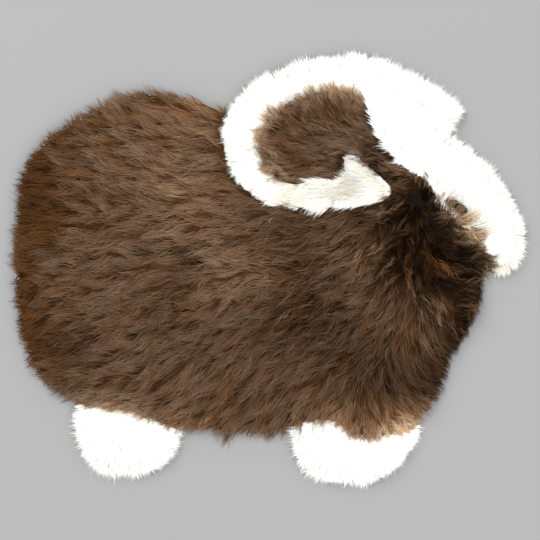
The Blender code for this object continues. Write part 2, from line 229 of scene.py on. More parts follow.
# What changes from place to place in the wool, as soft round patches:
# x, y, how wide, tone (darker below 0), curl (calm below 0), share of rusty strands, share of dark strands.
TONE, CURL, RUSTY, DARK = 3, 4, 5, 6
PATCHES = (
    # whorl, temple and strip
    (0.305, 0.045, 0.078, -1.12, 0.95, 0.22, 0.8),
    (0.3, 0.14, 0.045, -0.4, 0.6, 0.1, 0.35),
    (0.298, 0.139, 0.017, -0.8, 0, 0, 0.3),
    (0.23, 0.21, 0.045, -0.74, 0.5, 0.1, 0.35),
    (0.2, 0.125, 0.045, -0.46, 0.3, 0, 0.2),
    (0.355, 0.005, 0.03, -0.5, 0, -0.15, 0.3),
    (0.22, 0.045, 0.05, 0.26, 0, 0.1, 0),
    # chest, jaw and under the eye
    (0.39, -0.05, 0.07, -0.62, 0.65, 0.22, 0.35),
    (0.43, 0.02, 0.04, -0.25, 0.2, 0.1, 0.1),
    (0.37, 0.09, 0.035, 0.26, -0.4, 0, -0.5),
    (0.395, -0.14, 0.05, -1.3, 0.45, 0.3, 0.4),
    (0.28, -0.11, 0.05, 0.14, -0.1, 0.15, 0),
    # girth and neck
    (0.09, -0.08, 0.09, -0.56, 0.35, 0.15, 0.2),
    (0.22, -0.17, 0.08, -0.34, 0.15, 0.1, 0.1),
    (0.08, 0.07, 0.05, -0.28, 0.3, 0.2, 0.15),
    # this one darkens the wool just under the horn's edge: painted shade of the horn
    (0.02, 0.12, 0.035, -0.12, 0.2, 0, 0.2),
    # inset in the horn's curl
    (0.12, 0.25, 0.06, -0.16, 0.35, 0, 0.05),
    (0.17, 0.2, 0.035, 0, 0.3, 0, 0.2),
    (0.14, 0.33, 0.04, 0.06, -0.2, 0, 0),
    (0, 0.27, 0.03, 0.06, 0, 0.3, 0),
    # rusty bands at the rump and thigh
    (-0.49, 0.17, 0.075, -0.34, -0.5, 1, 0),
    (-0.43, 0.1, 0.055, -0.12, -0.3, 0.8, 0),
    (-0.49, 0, 0.055, -0.14, -0.3, 0.8, 0),
    (-0.48, -0.12, 0.07, -0.24, -0.2, 1, 0),
    (-0.36, -0.15, 0.06, -0.28, 0, 0.3, 0.05),
    # flank, back and ribs
    (-0.16, -0.11, 0.08, -0.18, 0.1, 0.1, 0.1),
    (-0.39, 0.27, 0.06, -0.06, -0.6, 0.4, 0),
    (-0.24, 0.28, 0.08, 0.12, -0.55, 0.1, 0),
    (-0.12, 0.31, 0.06, 0.28, -0.4, 0, 0),
    (-0.31, 0.19, 0.06, 0.04, -0.2, 0.1, 0),
    (-0.14, 0.14, 0.08, 0.3, -0.2, -0.1, 0),
    (-0.18, 0.04, 0.07, -0.05, 0, 0, 0),
    (-0.38, 0.12, 0.06, -0.03, 0, 0.1, 0),
    (0.03, -0.02, 0.04, 0.2, 0, 0, 0),
    (-0.05, -0.01, 0.05, 0.26, -0.2, -0.1, 0),
    # dark partings: the wool darker along them, which is painted shade where it parts
    (-0.132, 0.026, 0.013, -0.45, 0.2, 0.3, 0.5),
    (-0.128, 0.006, 0.011, -0.4, 0.2, 0.3, 0.4),
    (-0.148, -0.034, 0.011, -0.22, 0.2, 0.2, 0.2),
    (0.22, -0.222, 0.014, -0.3, 0.1, 0.1, 0.6),
    (0.185, -0.228, 0.012, -0.25, 0.1, 0.1, 0.4),
    # belly and hem
    (-0.03, -0.235, 0.06, -0.12, 0, 0.1, 0.1),
    (0.32, -0.2, 0.055, -0.62, 0.1, 0.2, 0.2),
    (-0.13, -0.32, 0.055, 0.24, -0.2, 0.1, 0),
    (0.15, -0.31, 0.055, 0.32, 0, 0.2, 0),
    (0.24, -0.29, 0.05, 0.42, 0, 0.2, 0),
)
WHITE_PATCHES = (
    # horn
    (0.08, 0.148, 0.06, -0.13, 0, 0.4, 0.35),
    (0.185, 0.175, 0.045, -0.46, 0, 0.2, 0.4),
    (-0.06, 0.24, 0.04, -0.05, 0, 0.4, 0),
    (0.02, 0.38, 0.06, -0.08, 0, 0.2, 0),
    # face
    (0.45, 0.01, 0.035, -0.16, 0, 0.5, 0.45),
    (0.395, 0.08, 0.03, -0.24, 0, 0.5, 0.55),
    (0.368, 0.112, 0.024, -1.2, 0, 0.3, 0.9),
    (0.47, -0.01, 0.03, -0.1, 0, 0.3, 0.1),
)

# Coats of strands. Columns: skin, name, habit, strands to a square metre, steps along a strand, strand width,
# and the spacing of the locks.
COATS = (
    ("body", "coat_low", "brown_low", 30000, 3, 0.0020, 0.014),
    ("body", "coat_mid", "brown_mid", 34000, 5, 0.0014, 0.016),
    ("body", "coat_top", "brown_top", 34000, 5, 0.0011, 0.018),
    ("body", "curls", "curls", 125000, 8, 0.0013, 0.0105),
    ("body", "wisps", "wisps", 70000, 5, 0.0009, 0.010),
    ("horn", "coat", "long_white", 260000, 4, 0.0014, 0.014),
    ("horn", "wisps", "white_wisps", 150000, 4, 0.0008, 0.010),
    ("face", "coat", "white", 270000, 3, 0.0014, 0.010),
    ("face", "wisps", "white_wisps", 120000, 4, 0.0008, 0.010),
    ("far_horn", "coat", "white", 300000, 3, 0.0014, 0.010),
    ("front_foot", "coat", "white", 280000, 3, 0.0014, 0.010),
    ("hind_foot", "coat", "white", 280000, 3, 0.0014, 0.010),
)

# How the strands of a coat lie, with the brown wool's habit in full. Gather: how far they close up into their lock.
# Wave and Turns: their crimp. Depth: share of the height that the lowest leave. Stray: lock from lock, and Fray:
# strand from strand, in radians. Sway: slow wandering of the comb. Relief: dips between locks, and Deep Tone
# darkens the locks that lie deeper, which is painted shade. Over: how much higher they lie. Shortened: how much
# shorter curly ones are. Follows Curl: 1 where the tones spread only in curly wool. Tone Shift: a whole coat
# lighter or darker, where the lower coats' darker shift is painted shade. The tones spread from lock to lock and
# from strand to strand. Edge Tone: lighter strands near a free edge, which is painted light. Roll: how far the flat
# of a strand turns over. coat_tree takes them in this order.
BROWN = {
    "Gather": 0.60, "Wave": 0.0034, "Turns": 1.1, "Depth": 0.10, "Stray": 0.22, "Fray": 0.08, "Sway": 2.2,
    "Relief": 0.0040, "Over": 0.0, "Painted Depth Shade": 0.0, "Shortened": 0.35, "Follows Curl": 0.0, "Tone Shift": -0.06,
    "Lock Tone": 0.12, "Strand Tone": 0.12, "Mix": 0.6, "Rust Share": 0.22, "Dark Share": 1.0, "Taper": 0.88,
    "Edge Painted Light": 0.08, "Edge Stray": 0.004, "Shingle": 0.003, "Under Curls": 0.016, "Roll": 0.35,
}
WHITE = {
    "Gather": 0.08, "Wave": 0.0010, "Turns": 0.8, "Depth": 0.08, "Stray": 0.12, "Fray": 0.36, "Sway": 1.0,
    "Relief": 0.0004, "Tone Shift": 0.0, "Lock Tone": 0.03, "Strand Tone": 0.05, "Mix": 0.3, "Rust Share": 0.15,
    "Taper": 0.94, "Edge Painted Light": 0.0, "Edge Stray": 0.016, "Shingle": 0.001, "Under Curls": 0.0, "Roll": 0.25,
}
# The habits of the coats, as far as they differ. Where: the patchwork that they grow in. Reach: the room that they
# keep to.
WISPY = {"Where": "wispy", "Reach": "long_reach", "Over": 0.001, "Stray": 0.30}
HABITS = {
    # The lower coats are darker than the top one, brown_mid by BROWN's Tone Shift: painted shade.
    "brown_low": {"Depth": 0.35, "Relief": 0.008, "Tone Shift": -0.20},
    "brown_mid": {},
    "brown_top": {"Depth": 0.05, "Gather": 0.70, "Fray": 0.06, "Relief": 0.0050, "Tone Shift": 0.0},
    # The curls are lighter than the coats under them, partly as painted light on the tops of the locks.
    "curls": {
        "Where": "curl", "Gather": 0.92, "Wave": 0.0018, "Turns": 1.5, "Depth": 0.06, "Stray": 0.32, "Fray": 0.09,
        "Relief": 0.015, "Over": 0.002, "Painted Depth Shade": 1.20, "Shortened": 0.20, "Follows Curl": 1.0, "Tone Shift": 0.44,
        "Lock Tone": 0.40, "Strand Tone": 0.60, "Rust Share": 0.20, "Dark Share": 0.7, "Taper": 0.95,
        "Shingle": 0.006, "Under Curls": 0.0,
    },
    "wisps": {
        **WISPY, "Gather": 0.80, "Depth": 0.03, "Fray": 0.12, "Tone Shift": 0.12, "Rust Share": 0.3,
        "Dark Share": 0.5, "Taper": 0.93,
    },
    "white": WHITE,
    "long_white": {**WHITE, "Gather": 0.15, "Fray": 0.24, "Stray": 0.18, "Wave": 0.0020, "Sway": 1.8},
    "white_wisps": {**WHITE, **WISPY, "Gather": 0.7, "Fray": 0.22, "Sway": 2.0, "Wave": 0.002},
}

# The longest way that a strand of each skin covers as it lies, and the same for its wisps.
LIE = {
    "body": (0.050, 0.060),
    "horn": (0.038, 0.048),
    "face": (0.032, 0.040),
    "far_horn": (0.028, 0.040),
    "front_foot": (0.030, 0.040),
    "hind_foot": (0.030, 0.040),
}
# Which wool lies over which along the seams: x, y, how wide, how far the body's wool laps over its
# neighbour (below 0 it is the other way about), and how pale the tips of the brown wool are there.
LAP, FADE = 3, 4
LAPS = (
    # face
    (0.435, 0, 0.04, 0.8, 0.7),
    (0.405, 0.06, 0.035, 0.8, 1),
    (0.376, 0.097, 0.03, 1.4, 1.7),
    (0.345, 0.126, 0.024, 0.9, 1.5),
    (0.3, 0.185, 0.025, 0.25, 0.5),
    (0.265, 0.21, 0.03, -0.4, 0.1),
    (0.23, 0.25, 0.04, -0.25, 0.2),
    # inside the horn's curl
    (0.13, 0.35, 0.06, 0.85, 0.9),
    (0.01, 0.28, 0.04, 0.8, 1),
    (0.03, 0.2, 0.03, 0.5, 0.9),
    # outside it, where the two lie over each other in turn
    (-0.085, 0.262, 0.025, -0.15, 0),
    (-0.074, 0.215, 0.018, 0.5, 0.1),
    (-0.066, 0.18, 0.022, -0.5, 0),
    (-0.022, 0.15, 0.022, 0.6, 0.2),
    (0, 0.118, 0.018, -0.5, 0),
    (0.046, 0.13, 0.018, 0.5, 0.2),
    (0.115, 0.125, 0.045, -0.45, 0),
    # hook
    (0.22, 0.185, 0.03, 0.3, 0.1),
    (0.172, 0.225, 0.03, 0.7, 0.3),
    (0.085, 0.185, 0.018, -0.5, 0),
    # feet
    (0.14, -0.31, 0.07, 0.15, 0.2),
    (0.26, -0.3, 0.05, 0.3, 1.4),
    (-0.28, -0.29, 0.09, 0.35, 0.6),
)


def tint(red, green, blue):
    """A colour as it looks on a screen, in steps of 0 to 255, as the linear values that shaders take."""
    seen = np.array([red, green, blue]) / 255
    linear = np.where(seen <= 0.04045, seen / 12.92, ((seen + 0.055) / 1.055) ** 2.4)
    return (*[float(c) for c in linear], 1.0)


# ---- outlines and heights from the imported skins


def underside_ring(node):
    """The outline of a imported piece's flat underside, anticlockwise."""
    bm = bmesh.new()
    bm.from_mesh(node.data)
    bmesh.ops.remove_doubles(bm, verts=bm.verts, dist=WELD)
    raised = [face for face in bm.faces if max(vert.co.z for vert in face.verts) > PROBE]
    bmesh.ops.delete(bm, geom=raised, context="FACES")
    following = {}
    for edge in bm.edges:
        if edge.is_boundary:
            corner = edge.link_loops[0]
            following[corner.vert] = corner.link_loop_next.vert
    first = next(iter(following))
    ring, vert = [first.co.to_2d()], following[first]
    while vert != first:
        ring.append(vert.co.to_2d())
        vert = following[vert]
    ring = np.array(ring)
    bm.free()
    after = np.roll(ring, -1, axis=0)
    turning = np.sum(ring[:, 0] * after[:, 1] - ring[:, 1] * after[:, 0])
    return evened(ring if turning > 0 else ring[::-1])


def evened(ring):
    """The same ring with its points at even distances."""
    closed = np.vstack([ring, ring[:1]])
    run = np.concatenate([[0], np.cumsum(np.linalg.norm(np.diff(closed, axis=0), axis=1))])
    stations = np.linspace(0, run[-1], int(run[-1] / RING_GRID), endpoint=False)
    return np.stack([np.interp(stations, run, closed[:, k]) for k in (0, 1)], axis=1)


def outward(ring):
    """Unit vectors that point out of an anticlockwise ring."""
    along = np.roll(ring, -2, axis=0) - np.roll(ring, 2, axis=0)
    out = np.stack([along[:, 1], -along[:, 0]], axis=1)
    return out / np.linalg.norm(out, axis=1, keepdims=True)


def inside(points, ring):
    """Which points lie in the ring, counted by the edges that a ray along +X meets."""
    after = np.roll(ring, -1, axis=0)
    rise = np.where(after[:, 1] == ring[:, 1], 1.0, after[:, 1] - ring[:, 1])
    x, y = points[:, 0:1], points[:, 1:2]
    spans = (ring[:, 1] > y) != (after[:, 1] > y)
    crossing = ring[:, 0] + (y - ring[:, 1]) * (after[:, 0] - ring[:, 0]) / rise
    return np.sum(spans & (x < crossing), axis=1) % 2 == 1


def nearest(points, others):
    """Distance to the nearest of the others, and which one it is."""
    distance = np.linalg.norm(points[:, None] - others[None], axis=2)
    return distance.min(axis=1), distance.argmin(axis=1)


class Cover:
    """The height of the lying wool over the rug and a margin round it, on an even grid, and whose wool it is."""

    def __init__(self):
        corners, triangles, owners = [], [], []
        for index, skin in enumerate(SKINS):
            mesh = NODES[skin].data
            mesh.calc_loop_triangles()
            first = len(corners)
            corners += [vert.co.copy() for vert in mesh.vertices]
            triangles += [[first + k for k in tri.vertices] for tri in mesh.loop_triangles]
            owners += [index] * len(mesh.loop_triangles)
        tree = BVHTree.FromPolygons(corners, triangles)
        self.low = np.array(CAD_BOX[0][:2]) - COVER_MARGIN
        span = np.array(CAD_BOX[1][:2]) + COVER_MARGIN - self.low
        self.count = (span / COVER_GRID).astype(int) + 1
        self.height = np.full(self.count, COVER_FLOOR)
        self.owner = np.full(self.count, -1)
        for i, j in np.ndindex(*self.count):
            x, y = self.low + COVER_GRID * np.array([i, j])
            place, _, face, _ = tree.ray_cast(Vector((x, y, 1.0)), Vector((0, 0, -1)))
            if face is not None:
                self.height[i, j] = max(place.z, COVER_FLOOR)
                self.owner[i, j] = owners[face]
        self.press(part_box("eye"))
        for _ in range(3):
            for axis in (0, 1):
                near = np.roll(self.height, 1, axis) + np.roll(self.height, -1, axis)
                self.height = (self.height * 2 + near) / 4

    def press(self, box):
        """Part the wool for a thing that is set into it, and lower it a little all round."""
        low, high = np.array(box[0]), np.array(box[1])
        centre = (low + high) / 2
        x, y = (self.low[k] + COVER_GRID * np.arange(self.count[k]) - centre[k] for k in (0, 1))
        x, y = x[:, None], y[None, :]
        self.height -= DIMPLE * np.exp(-((np.hypot(x, y) / DIMPLE_WAY) ** 2))
        cos, sin = math.cos(math.radians(EYE_TURN)), math.sin(math.radians(EYE_TURN))
        under = ((x * cos + y * sin) / EYE_SIZE[0]) ** 2 + ((y * cos - x * sin) / EYE_SIZE[1]) ** 2 < 0.25
        self.height[under] = low[2] - PROBE

    def whose(self, points):
        """The index of the skin at each point, or -1 past the rug."""
        cell = np.clip(np.rint((points - self.low) / COVER_GRID).astype(int), 0, self.count - 1)
        return self.owner[cell[:, 0], cell[:, 1]]

    def at(self, points):
        """The wool's height at each point."""
        place = np.clip((points - self.low) / COVER_GRID, 0, self.count - 1.001)
        cell = place.astype(int)
        u, v = (place - cell).T
        i, j = cell.T
        front = self.height[i, j] * (1 - u) + self.height[i + 1, j] * u
        back = self.height[i, j + 1] * (1 - u) + self.height[i + 1, j + 1] * u
        return front * (1 - v) + back * v

    def surface(self):
        """The same heights as a mesh object, for strands to rise to."""
        across, along = self.count
        places = [
            (*(self.low + COVER_GRID * np.array([i, j])), self.height[i, j])
            for i, j in np.ndindex(across, along)
        ]
        faces = [
            (i * along + j, (i + 1) * along + j, (i + 1) * along + j + 1, i * along + j + 1)
            for i, j in np.ndindex(across - 1, along - 1)
        ]
        mesh = bpy.data.meshes.new("cover")
        mesh.from_pydata(places, [], faces)
        return placed("cover", mesh)


def placed(name, mesh):
    """An object of the mesh, at the origin."""
    piece = bpy.data.objects.new(name, mesh)
    bpy.context.scene.collection.objects.link(piece)
    return piece


RING = {skin: underside_ring(NODES[skin]) for skin in SKINS}
COVER = Cover()


def free_rim(skin):
    """The points of a skin's ring where no neighbour is sewn on, and which way is out there."""
    ring = RING[skin]
    out = outward(ring)
    covered = np.any([inside(ring + out * PROBE, RING[other]) for other in SKINS if other != skin], axis=0)
    return ring[~covered], out[~covered], covered


def hide_ring(skin):
    """The cut edge of a skin: to the seam where it is sewn, and tucked in under the wool where it is free."""
    ring = RING[skin]
    out = outward(ring)
    depth = np.where(free_rim(skin)[2], 0.0, TUCK)
    for _ in range(3):
        depth = (np.roll(depth, 1) + 2 * depth + np.roll(depth, -1)) / 4
    cut = ring - out * depth[:, None]
    keep = inside(cut, ring) | (depth < PROBE)
    keep &= nearest(cut, ring)[0] >= CUT_SLACK * depth - WELD
    return cut[keep]


def flat_fill(ring, spacing):
    """Corners and triangles that fill a ring, on an even triangular grid."""
    low, high = ring.min(axis=0), ring.max(axis=0)
    row_gap = spacing * math.sqrt(3) / 2
    grid = [
        (low[0] + (column + row % 2 / 2) * spacing, low[1] + row * row_gap)
        for row in range(int((high[1] - low[1]) / row_gap) + 1)
        for column in range(int((high[0] - low[0]) / spacing) + 1)
    ]
    grid = np.array(grid)
    grid = grid[inside(grid, ring)]
    grid = grid[nearest(grid, ring)[0] > GRID_CLEAR * spacing]
    corners = [Vector(place) for place in np.vstack([ring, grid])]
    edges = [(k, (k + 1) % len(ring)) for k in range(len(ring))]
    places, _, faces, _, _, _ = delaunay_2d_cdt(corners, edges, [], 0, WELD)
    places = np.array([tuple(place) for place in places])
    faces = np.array([list(face) for face in faces])
    faces = faces[inside(places[faces].mean(axis=1), ring)]
    used, faces = np.unique(faces, return_inverse=True)
    return places[used], faces.reshape(-1, 3)


# ---- the ground that wool grows from


def combed(skin, points):
    """The way that wool lies at each point: the strokes laid out above, turned outwards near a free edge."""
    places = np.array([stroke[:2] for stroke in COMB[skin]])
    headings = np.radians([stroke[2] for stroke in COMB[skin]])
    away = np.linalg.norm(points[:, None] - places[None], axis=2)
    weight = (away**2 + COMB_BLUR**2) ** -2
    way = weight @ np.stack([np.cos(headings), np.sin(headings)], axis=1)
    way /= np.linalg.norm(way, axis=1, keepdims=True)
    rim, out, _ = free_rim(skin)
    distance, index = nearest(points, rim)
    turned = (SPLAY_SHARE * np.clip(1 - distance / SPLAY, 0, 1) ** 2)[:, None]
    way = way * (1 - turned) + out[index] * turned
    return way / np.linalg.norm(way, axis=1, keepdims=True)


def soft_spots(table, points, column):
    """One column of a table of soft round spots, added up at each point."""
    total = np.zeros(len(points))
    for spot in table:
        away = np.linalg.norm(points - np.array(spot[:2]), axis=1)
        total += spot[column] * np.exp(-((away / spot[2]) ** 2))
    return total


def lapped(skin, points):
    """How a skin's wool meets its neighbours': below 0 it lies under, above 0 over, and at 2 far over."""
    total = np.clip(soft_spots(LAPS, points, LAP), -1, 2)
    return total if skin == "body" else -total


def at_border(skin, points, near):
    """1 at the nearest skin of the other colour, falling to 0 this far off."""
    others = [other for other in SKINS if (other == "body") != (skin == "body")]
    away = np.min([nearest(points, RING[other])[0] for other in others], axis=0)
    return np.clip(1 - away / near, 0, 1) ** 0.5


def lap_lift(skin, points):
    """How much higher or lower the wool lies near a seam to wool of the other colour."""
    return LAP_HEIGHT * np.clip(lapped(skin, points), -1, 1) * at_border(skin, points, LAP_NEAR)


def room(skin, points, way, longest, more):
    """How far a strand may lie from each point: its full way, or a little past a seam or the rug's edge."""
    own = SKINS.index(skin)
    spill = LAP_WAY * lapped(skin, points) + more
    reach = np.full(len(points), longest)
    passed = np.zeros(len(points))
    for step in np.arange(MARCH, longest, MARCH):
        owner = COVER.whose(points + way * step)
        passed += np.where(owner != own, MARCH, 0)
        allowed = np.where(owner < 0, OVERHANG, MINGLE)
        other_colour = owner > 0 if skin == "body" else owner == 0
        allowed = np.where(other_colour, spill, allowed)
        stopped = (owner != own) & (passed > allowed) & (reach == longest)
        short = np.maximum(step + np.minimum(allowed, 0), SHORTEST)
        reach = np.where(stopped, short, reach)
    return reach


def at_seam(skin, points):
    """1 where a neighbour is sewn on, falling to 0 a little way off: wool stands up steeper and thicker there."""
    _, _, covered = free_rim(skin)
    distance, _ = nearest(points, RING[skin][covered])
    return np.clip(1 - distance / STEEP_WAY, 0, 1)


def patchwork(skin, points, column):
    """One column of the table of patches, added up at each point."""
    return soft_spots(PATCHES if skin == "body" else WHITE_PATCHES, points, column)


def ground(skin):
    """The top of a hide as an open mesh that carries the comb and the wool's changes."""
    places, faces = flat_fill(hide_ring(skin), GROUND_GRID)
    mesh = bpy.data.meshes.new(f"{skin}_ground")
    mesh.from_pydata([(*place, HIDE_LIFT + HIDE) for place in places], [], faces.tolist())
    way = combed(skin, places)
    longest, wisp = LIE[skin]
    over = np.clip(lapped(skin, places), 0, 1)
    not_under = np.clip(1 + UNDER_THINS * lapped(skin, places), 0, 1)
    reach = room(skin, places, way, longest, 0.0)
    long_reach = room(skin, places, way, wisp, WISP_WAY + WISP_LAP * over)
    on_the_rug = COVER.whose(places + way * long_reach[:, None]) >= 0
    from_rim, _ = nearest(places, free_rim(skin)[0])
    curl = patchwork(skin, places, CURL)
    values = {
        "everywhere": np.ones(len(places)),
        "reach": reach,
        "long_reach": long_reach,
        "wispy": np.clip((wisp - long_reach) / (wisp - longest), 0, 1) * on_the_rug * not_under,
        "steep": at_seam(skin, places) * not_under,
        "at_edge": np.clip(1 - from_rim / EVEN_EDGE, 0, 1),
        "lap": lap_lift(skin, places),
        "fade": np.clip(soft_spots(LAPS, places, FADE), 0, FADE_MOST) * at_border(skin, places, FADE_NEAR),
        "tone": patchwork(skin, places, TONE),
        "curl": np.clip(curl, 0, 1),
        "calm": np.clip(-curl, 0, 1),
        "rusty": patchwork(skin, places, RUSTY),
        "dark": patchwork(skin, places, DARK),
    }
    for name, value in values.items():
        mesh.attributes.new(name, "FLOAT", "POINT").data.foreach_set("value", value.astype(np.float32))
    comb = np.hstack([way, np.zeros((len(way), 1))]).astype(np.float32)
    mesh.attributes.new("comb", "FLOAT_VECTOR", "POINT").data.foreach_set("vector", comb.ravel())
    return placed(f"{skin}_ground", mesh)


def slab(name, ring, spacing, low, height, rim):
    """A closed piece that fills the ring, flat below, with its top at the height worked out for each point."""
    places, faces = flat_fill(ring, spacing)
    count = len(places)
    bottom = [(*place, low) for place in places]
    top = [(*place, z) for place, z in zip(places, height(places, nearest(places, rim)[0]))]
    edges = {(tri[k], tri[k - 2]) for tri in faces.tolist() for k in range(3)}
    walls = [(a, b, b + count, a + count) for a, b in sorted(edges) if (b, a) not in edges]
    mesh = bpy.data.meshes.new(name)
    mesh.from_pydata(
        bottom + top,
        [],
        [face[::-1] for face in faces.tolist()] + (faces + count).tolist() + walls,
    )
    mesh.polygons.foreach_set("use_smooth", [True] * len(mesh.polygons))
    return placed(name, mesh)


def hide_top(places, _):
    """The wool side of a dressed skin."""
    return np.full(len(places), HIDE_LIFT + HIDE)


def under_wool_top(skin):
    """Matted wool close to the skin: lower than the coat over it, lumpy, and lowest near a free edge."""

    def top(places, from_rim):
        share = UNDER_SHARE[1]
        if skin == "body":
            share = UNDER_SHARE[0] - UNDER_CURLS * np.clip(patchwork(skin, places, CURL), 0, 1)
        grown = share * COVER.at(places) * np.clip((from_rim - TUCK) / UNDER_ROUND, UNDER_THIN, 1) ** 0.5
        lumps = [
            noise(Vector((x, y, 0)) / UNDER_LUMP) + noise(Vector((x, y, 1)) / UNDER_LUMP * UNDER_FINE)
            for x, y in places
        ]
        return HIDE_LIFT + HIDE + UNDER_GAP + np.maximum(grown - HIDE + UNDER_RELIEF * np.array(lumps), UNDER_GAP)

    return top


# ---- node trees, and the one that grows a coat


class Field:
    """An output of a node. Sums of fields add the nodes that work them out."""

    def __init__(self, tree, socket):
        self.tree, self.socket = tree, socket

    def also(self, name):
        """Another output of the same node."""
        found = [s for s in self.socket.node.outputs if s.name == name and s.enabled]
        return Field(self.tree, found[0])


def give_sum(method, operation):
    """Let a field stand on either side of one of Python's signs."""

    def forwards(self, other):
        return self.tree.sum(operation, self, other)

    def backwards(self, other):
        return self.tree.sum(operation, other, self)

    setattr(Field, f"__{method}__", forwards)
    setattr(Field, f"__r{method}__", backwards)


for sign in (("add", "ADD"), ("sub", "SUBTRACT"), ("mul", "MULTIPLY"), ("truediv", "DIVIDE"), ("pow", "POWER")):
    give_sum(*sign)


class Tree:
    """A node tree that is written as calls and sums."""

    def __init__(self, group):
        self.group, self.nodes = group, group.nodes

    def input(self, name, kind, value=None):
        """A named input of the tree."""
        socket = self.group.interface.new_socket(name, in_out="INPUT", socket_type=kind)
        if value is not None:
            socket.default_value = value
        entry = self.nodes.get("Group Input") or self.nodes.new("NodeGroupInput")
        return Field(self, entry.outputs[name])

    def output(self, name, kind, field):
        """A named output of the tree."""
        self.group.interface.new_socket(name, in_out="OUTPUT", socket_type=kind)
        leave = self.nodes.get("Group Output") or self.nodes.new("NodeGroupOutput")
        self.put(leave.inputs[name], field)

    def put(self, socket, value):
        """Link a field to a socket, or set the socket to a plain value."""
        if isinstance(value, Field):
            self.group.links.new(value.socket, socket)
        elif socket.type == "VECTOR" and not hasattr(value, "__len__"):
            socket.default_value = (value, value, value)
        else:
            socket.default_value = value

    def node(self, kind, settings=None, **values):
        """A new node: settings are its menus, and values go to the inputs of the same names."""
        node = self.nodes.new(kind)
        for name, value in (settings or {}).items():
            setattr(node, name, value)
        for name, value in values.items():
            found = [s for s in node.inputs if s.enabled and s.name.lower().replace(" ", "_") == name]
            self.put(found[0], value)
        return Field(self, next(s for s in node.outputs if s.enabled))

    def sum(self, operation, first, second):
        """Two fields, or a field and a number, combined."""
        flat = [not (isinstance(v, Field) and v.socket.type == "VECTOR") for v in (first, second)]
        if operation == "MULTIPLY" and flat[0] != flat[1]:
            vector, scale = (second, first) if flat[0] else (first, second)
            return self.node("ShaderNodeVectorMath", {"operation": "SCALE"}, vector=vector, scale=scale)
        return self.maths("ShaderNodeMath" if all(flat) else "ShaderNodeVectorMath", operation, first, second)

    def maths(self, kind, operation, *values):
        """A node of sums with its inputs in order."""
        node = self.nodes.new(kind)
        node.operation = operation
        for socket, value in zip(node.inputs, values):
            self.put(socket, value)
        return Field(self, next(s for s in node.outputs if s.enabled))

    def number(self, operation, *values):
        """A scalar sum such as SINE or MINIMUM."""
        return self.maths("ShaderNodeMath", operation, *values)

    def vector(self, operation, *values):
        """A vector sum such as NORMALIZE or CROSS_PRODUCT."""
        return self.maths("ShaderNodeVectorMath", operation, *values)

    def between(self, value, low, high):
        """The value, kept from low to high."""
        return self.number("MINIMUM", self.number("MAXIMUM", value, low), high)

    def join(self, x, y, z=0.0):
        """A vector from its parts."""
        return self.node("ShaderNodeCombineXYZ", x=x, y=y, z=z)

    def parts(self, vector):
        """The three parts of a vector."""
        x = self.node("ShaderNodeSeparateXYZ", vector=vector)
        return x, x.also("Y"), x.also("Z")

    def strengthened(self, colour, strength):
        """A colour times a number."""
        return self.vector("MULTIPLY", colour, self.join(strength, strength, strength))

    def read(self, name, kind="FLOAT"):
        """A named attribute."""
        return self.node("GeometryNodeInputNamedAttribute", {"data_type": kind}, name=name)

    def store(self, geometry, name, value, kind="FLOAT", domain="POINT"):
        """The geometry with a value kept on it under a name."""
        menus = {"data_type": kind, "domain": domain}
        return self.node("GeometryNodeStoreNamedAttribute", menus, geometry=geometry, name=name, value=value)

    def blend(self, share, first, second):
        """The first colour, going over to the second as the share goes from 0 to 1."""
        return self.node("ShaderNodeMix", {"data_type": "RGBA"}, factor=share, a=first, b=second)


